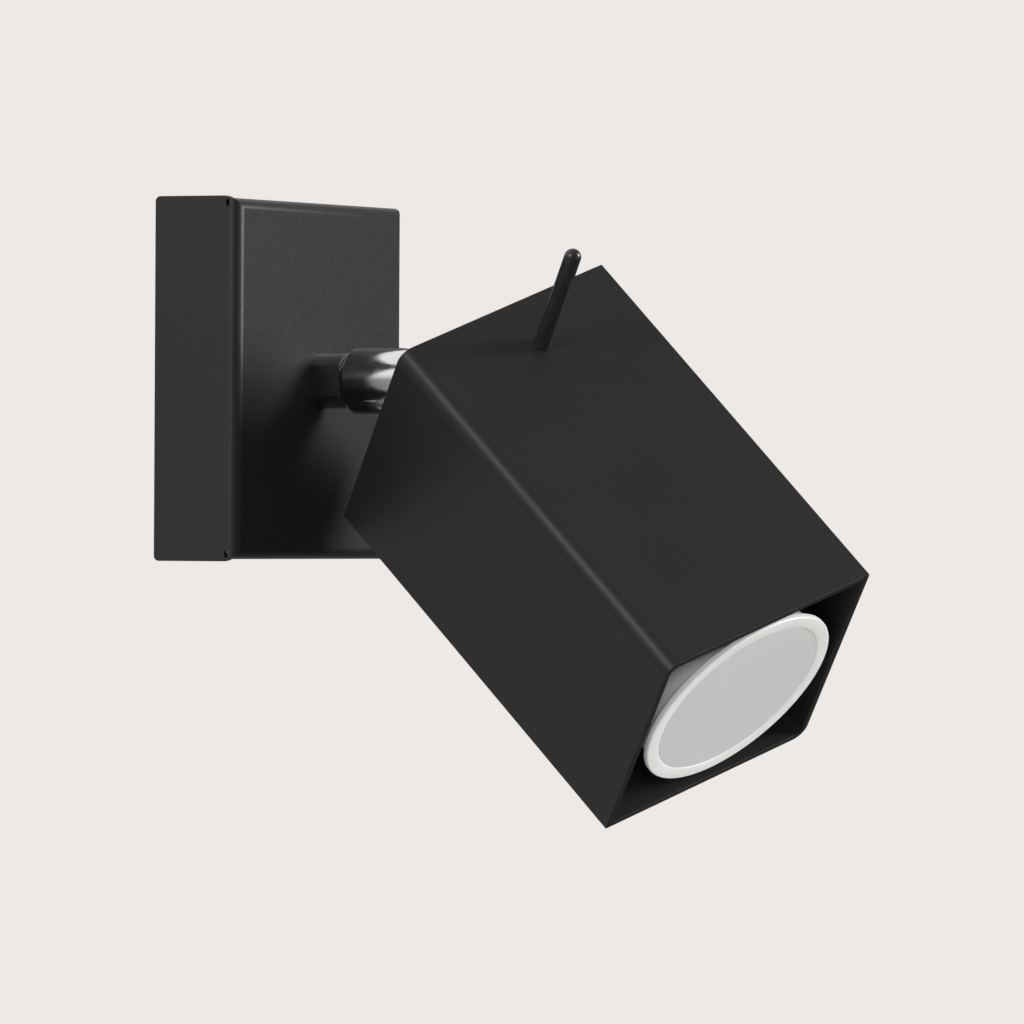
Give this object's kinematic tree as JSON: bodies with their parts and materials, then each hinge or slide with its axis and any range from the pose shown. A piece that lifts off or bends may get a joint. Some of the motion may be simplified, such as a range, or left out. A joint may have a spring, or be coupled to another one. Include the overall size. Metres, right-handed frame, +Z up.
{
  "type": "wall spotlight",
  "caption": "Wall spotlight with a square folded canopy, a chrome knuckle arm that swivels and tilts, and a square tube head that rolls around a twist-in lamp, with an aiming pin.",
  "frame": {"origin": "on the wall plane, midway between the two slotted wall screw holes and behind the middle of the canopy", "axes": "+Z up, +Y into the wall, so the light stands out along -Y, +X to the right as seen from the room"},
  "size_m": [0.0883, 0.1576, 0.1393],
  "materials": {
    "black_powder_coat": "fine satin powder coat",
    "black_gloss_rod": "gloss",
    "black_chrome_plate": "polished plating",
    "zinc_steel": "zinc plated",
    "screw_steel": "plain steel",
    "brass_contact": "plain brass",
    "terminal_plastic": "matte moulded",
    "friction_plastic": "matte",
    "lead_brown": "silicone",
    "lead_blue": "silicone",
    "lead_green": "silicone",
    "holder_ceramic": "unglazed",
    "lamp_white": "satin white moulded",
    "lamp_diffuser": "opal",
    "led_board_white": "solder mask",
    "pin_nickel": "nickel plated"
  },
  "bodies": {
    "wall_base": {"canopy": "black_powder_coat", "wall_plate": "zinc_steel", "canopy_screws": "screw_steel", "terminal_block": "terminal_plastic", "terminal_tubes": "brass_contact", "terminal_screws": "screw_steel", "terminal_fixing_screws": "screw_steel", "wall_earth_lug": "brass_contact", "wall_earth_screw": "brass_contact", "base_lead_live": "lead_brown", "base_lead_neutral": "lead_blue", "base_lead_earth": "lead_green", "arm_spigot": "black_chrome_plate", "spigot_washer": "zinc_steel", "spigot_nut": "zinc_steel"},
    "swivel_arm": {"knuckle_rear": "black_chrome_plate", "swivel_grub_screw": "black_chrome_plate", "hinge_friction_ring": "friction_plastic"},
    "tilt_knuckle": {"knuckle_front": "black_chrome_plate", "hinge_screw": "screw_steel", "hinge_spring_washer": "screw_steel", "roll_stop_washer": "zinc_steel", "roll_nut": "zinc_steel"},
    "head": {"tube_shell_upper": "black_powder_coat", "tube_shell_lower": "black_powder_coat", "tube_back_plate": "black_powder_coat", "aiming_pin": "black_gloss_rod", "aiming_pin_nut": "zinc_steel", "lampholder_bracket": "zinc_steel", "bracket_rivets": "zinc_steel", "lampholder": "holder_ceramic", "lampholder_screws": "screw_steel", "lampholder_contacts": "brass_contact", "head_earth_lug": "brass_contact", "head_earth_screw": "brass_contact", "head_lead_live": "lead_brown", "head_lead_neutral": "lead_blue", "head_lead_earth": "lead_green"},
    "lamp": {"lamp_housing": "lamp_white", "lamp_rim": "lamp_white", "lamp_lens": "lamp_diffuser", "lamp_led_board": "led_board_white", "lamp_base": "lamp_white", "lamp_pins": "pin_nickel"}
  },
  "joints": [
    {"name": "arm_swivel", "type": "hinge", "parent": "wall_base", "child": "swivel_arm", "pos_m": [0, -0.0368, 0], "axis": [0, 1, 0], "range_deg": [-160, 160]},
    {"name": "head_tilt", "type": "hinge", "parent": "swivel_arm", "child": "tilt_knuckle", "pos_m": [0, -0.0568, 0], "axis": [0.9905, 0, -0.1374], "range_deg": [-84.6, 15.4]},
    {"name": "head_roll", "type": "hinge", "parent": "tilt_knuckle", "child": "head", "pos_m": [0, -0.0568, 0], "axis": [-0.0965, -0.712, -0.6955], "range_deg": [-170.5, 89.5]},
    {"name": "lamp_twist", "type": "hinge", "parent": "head", "child": "lamp", "pos_m": [0.00039, -0.05723, 0.00039], "axis": [-0.0965, -0.712, -0.6955], "range_deg": [0, 25]}
  ]
}
